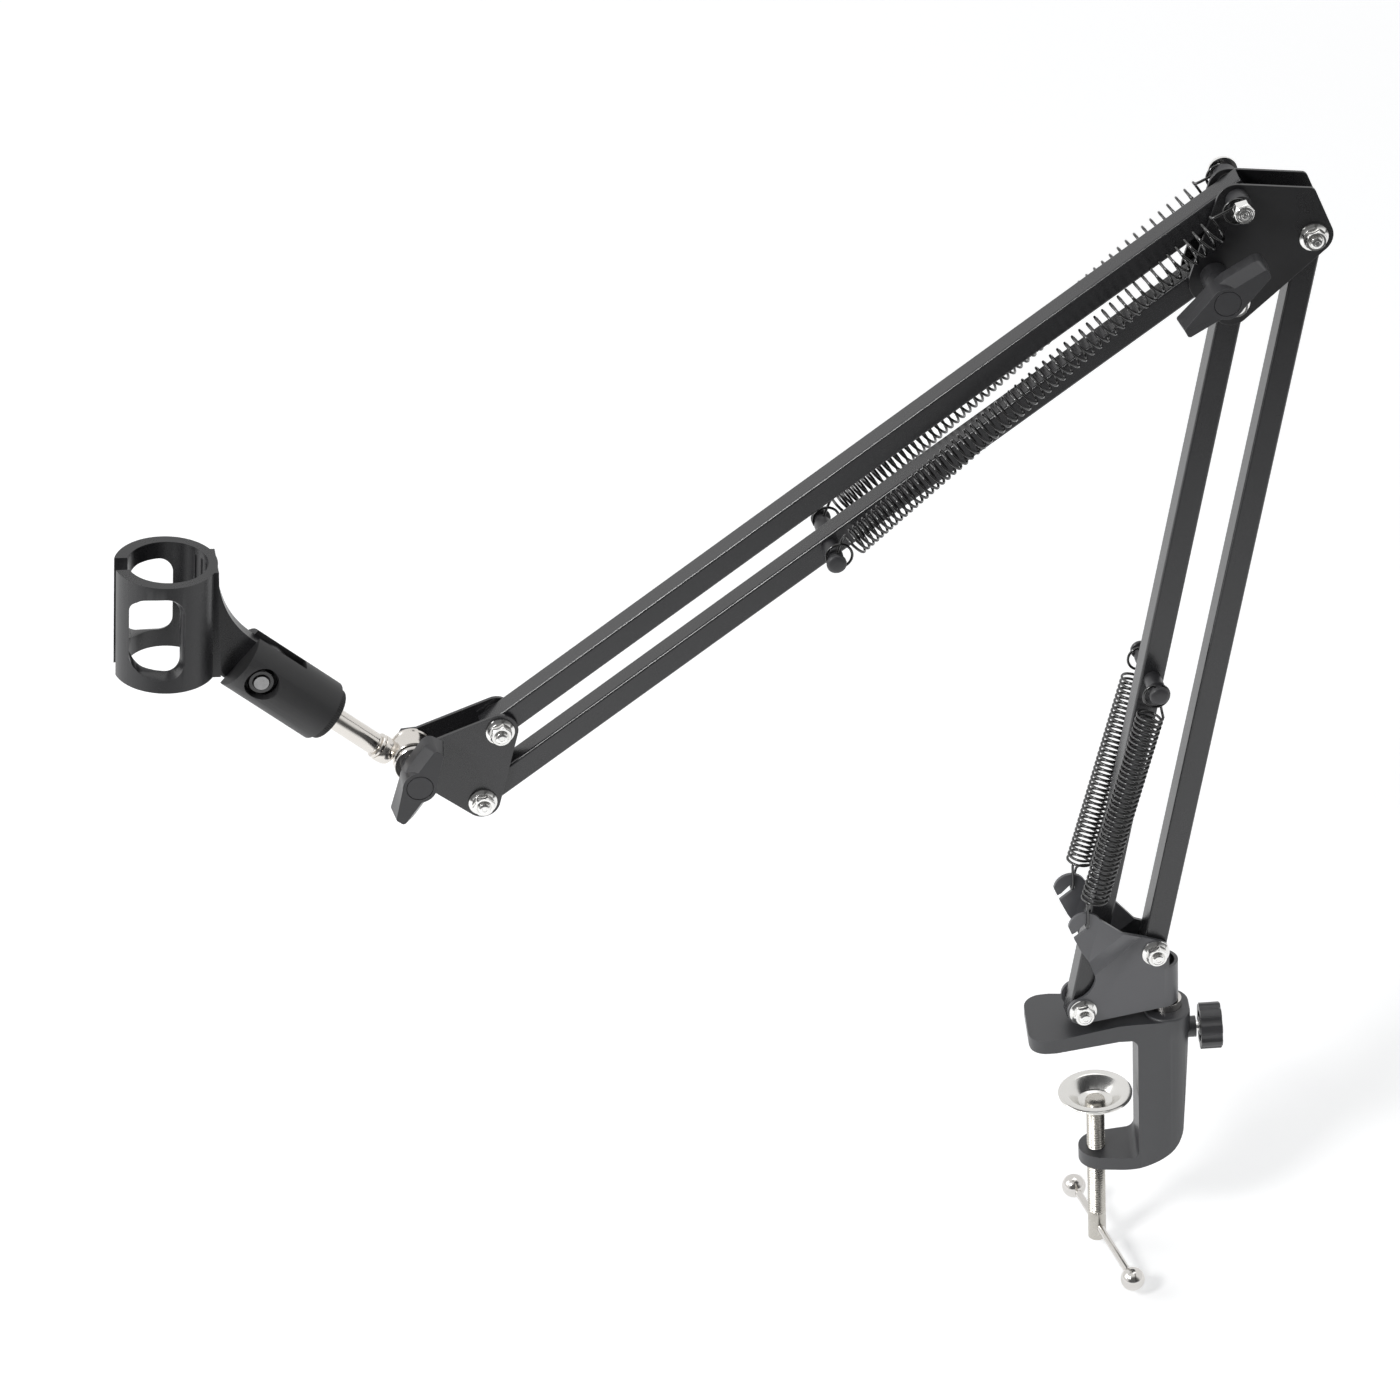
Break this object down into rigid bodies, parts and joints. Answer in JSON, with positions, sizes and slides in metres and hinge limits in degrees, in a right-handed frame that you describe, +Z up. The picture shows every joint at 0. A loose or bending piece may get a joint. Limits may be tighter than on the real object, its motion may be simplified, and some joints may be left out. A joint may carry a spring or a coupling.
{
  "type": "microphone boom arm",
  "caption": "Spring-balanced scissor arm of square steel tube with a desk clamp, wing knobs and a swivelling split clip that holds a slim microphone.",
  "frame": {"origin": "on the swivel axis, at the level of the desk top that the clamp grips", "axes": "+Z up, +X in the plane of the arm, away from the microphone, -Y towards the wing knobs"},
  "size_m": [0.4885, 0.0717, 0.5105],
  "materials": {
    "black_paint": "satin black powder coat",
    "black_plastic": "moulded, fine matte",
    "chrome": "bright plated",
    "zinc": "bright zinc plated",
    "spring_wire": "blackened spring steel wire",
    "nylon": "black nylon"
  },
  "bodies": {
    "clamp": {"clamp_frame": "black_paint"},
    "lock_screw": {"lock_screw": "zinc"},
    "lock_knob": {"lock_knob": "black_plastic"},
    "pad": {"pressure_pad": "chrome"},
    "clamp_screw": {"clamp_screw": "chrome"},
    "tommy_bar": {"tommy_bar": "chrome", "tommy_bar_balls": "chrome"},
    "base": {"swivel_stud": "chrome", "base_bracket": "black_paint", "base_bolts": "zinc", "base_nuts": "zinc", "base_washers": "nylon"},
    "lower_arm": {"lower_front_tube": "black_paint", "lower_spring_pin": "spring_wire", "lower_spring_front": "spring_wire", "lower_spring_back": "spring_wire"},
    "lower_link": {"lower_rear_tube": "black_paint"},
    "elbow": {"elbow_plate_front": "black_paint", "elbow_plate_back": "black_paint", "elbow_bolts": "zinc", "elbow_nuts": "zinc", "elbow_washers": "nylon", "spring_bolt": "zinc", "spring_bolt_nut": "zinc", "spring_spacers": "black_plastic", "elbow_clamp_bolt": "zinc", "elbow_bush": "black_plastic"},
    "elbow_knob": {"elbow_wing_knob": "black_plastic"},
    "upper_arm": {"upper_bottom_tube": "black_paint", "upper_spring_pin": "spring_wire", "upper_spring_front": "spring_wire", "upper_spring_back": "spring_wire"},
    "upper_link": {"upper_top_tube": "black_paint"},
    "tip": {"tip_plate_front": "black_paint", "tip_plate_back": "black_paint", "tip_bolts": "zinc", "tip_nuts": "zinc", "tip_washers": "nylon", "tip_steel_washer": "chrome", "tip_clamp_bolt": "zinc"},
    "tip_knob": {"tip_wing_knob": "black_plastic"},
    "lug": {"swivel_lug": "chrome", "mic_post": "chrome"},
    "socket": {"thread_adapter": "black_plastic", "clip_socket": "black_plastic", "clip_bolt": "black_plastic", "clip_nut": "black_plastic"},
    "clip": {"clip_holder": "black_plastic"}
  },
  "joints": [
    {"name": "lock_slide", "type": "slide", "parent": "clamp", "child": "lock_screw", "axis": [0.9936, -0.1132, 0], "range_m": [0, 0.0024]},
    {"name": "lock_turn", "type": "hinge", "parent": "lock_screw", "child": "lock_knob", "pos_m": [0, 0, -0.0028], "axis": [0.9936, -0.1132, 0], "range_deg": [0, 1080]},
    {"name": "pad_slide", "type": "slide", "parent": "clamp", "child": "pad", "axis": [0, 0, 1], "range_m": [-0.02, 0.025]},
    {"name": "screw_turn", "type": "hinge", "parent": "pad", "child": "clamp_screw", "pos_m": [-0.0303, 0.00345, -0.0331], "axis": [0, 0, 1], "range_deg": [-5760, 7200]},
    {"name": "bar_slide", "type": "slide", "parent": "clamp_screw", "child": "tommy_bar", "axis": [-0.1983, 0.9746, 0.1045], "range_m": [-0.0155, 0.0283]},
    {"name": "base_swivel", "type": "hinge", "parent": "clamp", "child": "base", "pos_m": [0, 0, 0], "axis": [0, 0, 1], "continuous": true},
    {"name": "lower_lift", "type": "hinge", "parent": "base", "child": "lower_arm", "pos_m": [-0.0372, 0, 0.0167], "axis": [0, -1, 0], "range_deg": [-22, 60], "deforming": ["lower_spring_front", "lower_spring_back"]},
    {"name": "lower_link_turn", "type": "hinge", "parent": "base", "child": "lower_link", "pos_m": [-0.006, 0, 0.0419], "axis": [0, -1, 0], "range_deg": [-22, 60]},
    {"name": "elbow_turn", "type": "hinge", "parent": "lower_arm", "child": "elbow", "pos_m": [0.028, 0, 0.3457], "axis": [0, -1, 0], "range_deg": [-60, 22]},
    {"name": "upper_lift", "type": "hinge", "parent": "elbow", "child": "upper_arm", "pos_m": [0.0195, 0, 0.359], "axis": [0, -1, 0], "range_deg": [-95, 21], "deforming": ["upper_spring_front", "upper_spring_back"]},
    {"name": "upper_link_turn", "type": "hinge", "parent": "elbow", "child": "upper_link", "pos_m": [0.0286, 0, 0.3912], "axis": [0, -1, 0], "range_deg": [-95, 21]},
    {"name": "tip_turn", "type": "hinge", "parent": "upper_arm", "child": "tip", "pos_m": [-0.28116, 0, 0.15848], "axis": [0, -1, 0], "range_deg": [-21, 95]},
    {"name": "elbow_knob_turn", "type": "hinge", "parent": "elbow", "child": "elbow_knob", "pos_m": [0.0195, 0, 0.359], "axis": [0, -1, 0], "range_deg": [0, 360]},
    {"name": "tip_knob_turn", "type": "hinge", "parent": "tip", "child": "tip_knob", "pos_m": [-0.30726, 0, 0.18068], "axis": [0, -1, 0], "range_deg": [0, 360]},
    {"name": "post_tilt", "type": "hinge", "parent": "tip", "child": "lug", "pos_m": [-0.30726, 0, 0.18068], "axis": [0, -1, 0], "range_deg": [-70, 110]},
    {"name": "socket_turn", "type": "hinge", "parent": "lug", "child": "socket", "pos_m": [-0.31095, 0, 0.17687], "axis": [-0.7193, 0, 0.6947], "range_deg": [-180, 180]},
    {"name": "clip_tilt", "type": "hinge", "parent": "socket", "child": "clip", "pos_m": [-0.3649, 0, 0.22897], "axis": [0, -1, 0], "range_deg": [-20, 60]}
  ],
  "couplings": [
    {"joint": "lock_slide", "follows": "lock_turn", "m_per_rad": 0.00012732},
    {"joint": "pad_slide", "follows": "screw_turn", "m_per_rad": 0.00019894},
    {"joint": "lower_link_turn", "follows": "lower_lift", "ratio": 1},
    {"joint": "elbow_turn", "follows": "lower_lift", "ratio": -1},
    {"joint": "upper_link_turn", "follows": "upper_lift", "ratio": 1},
    {"joint": "tip_turn", "follows": "upper_lift", "ratio": -1}
  ]
}
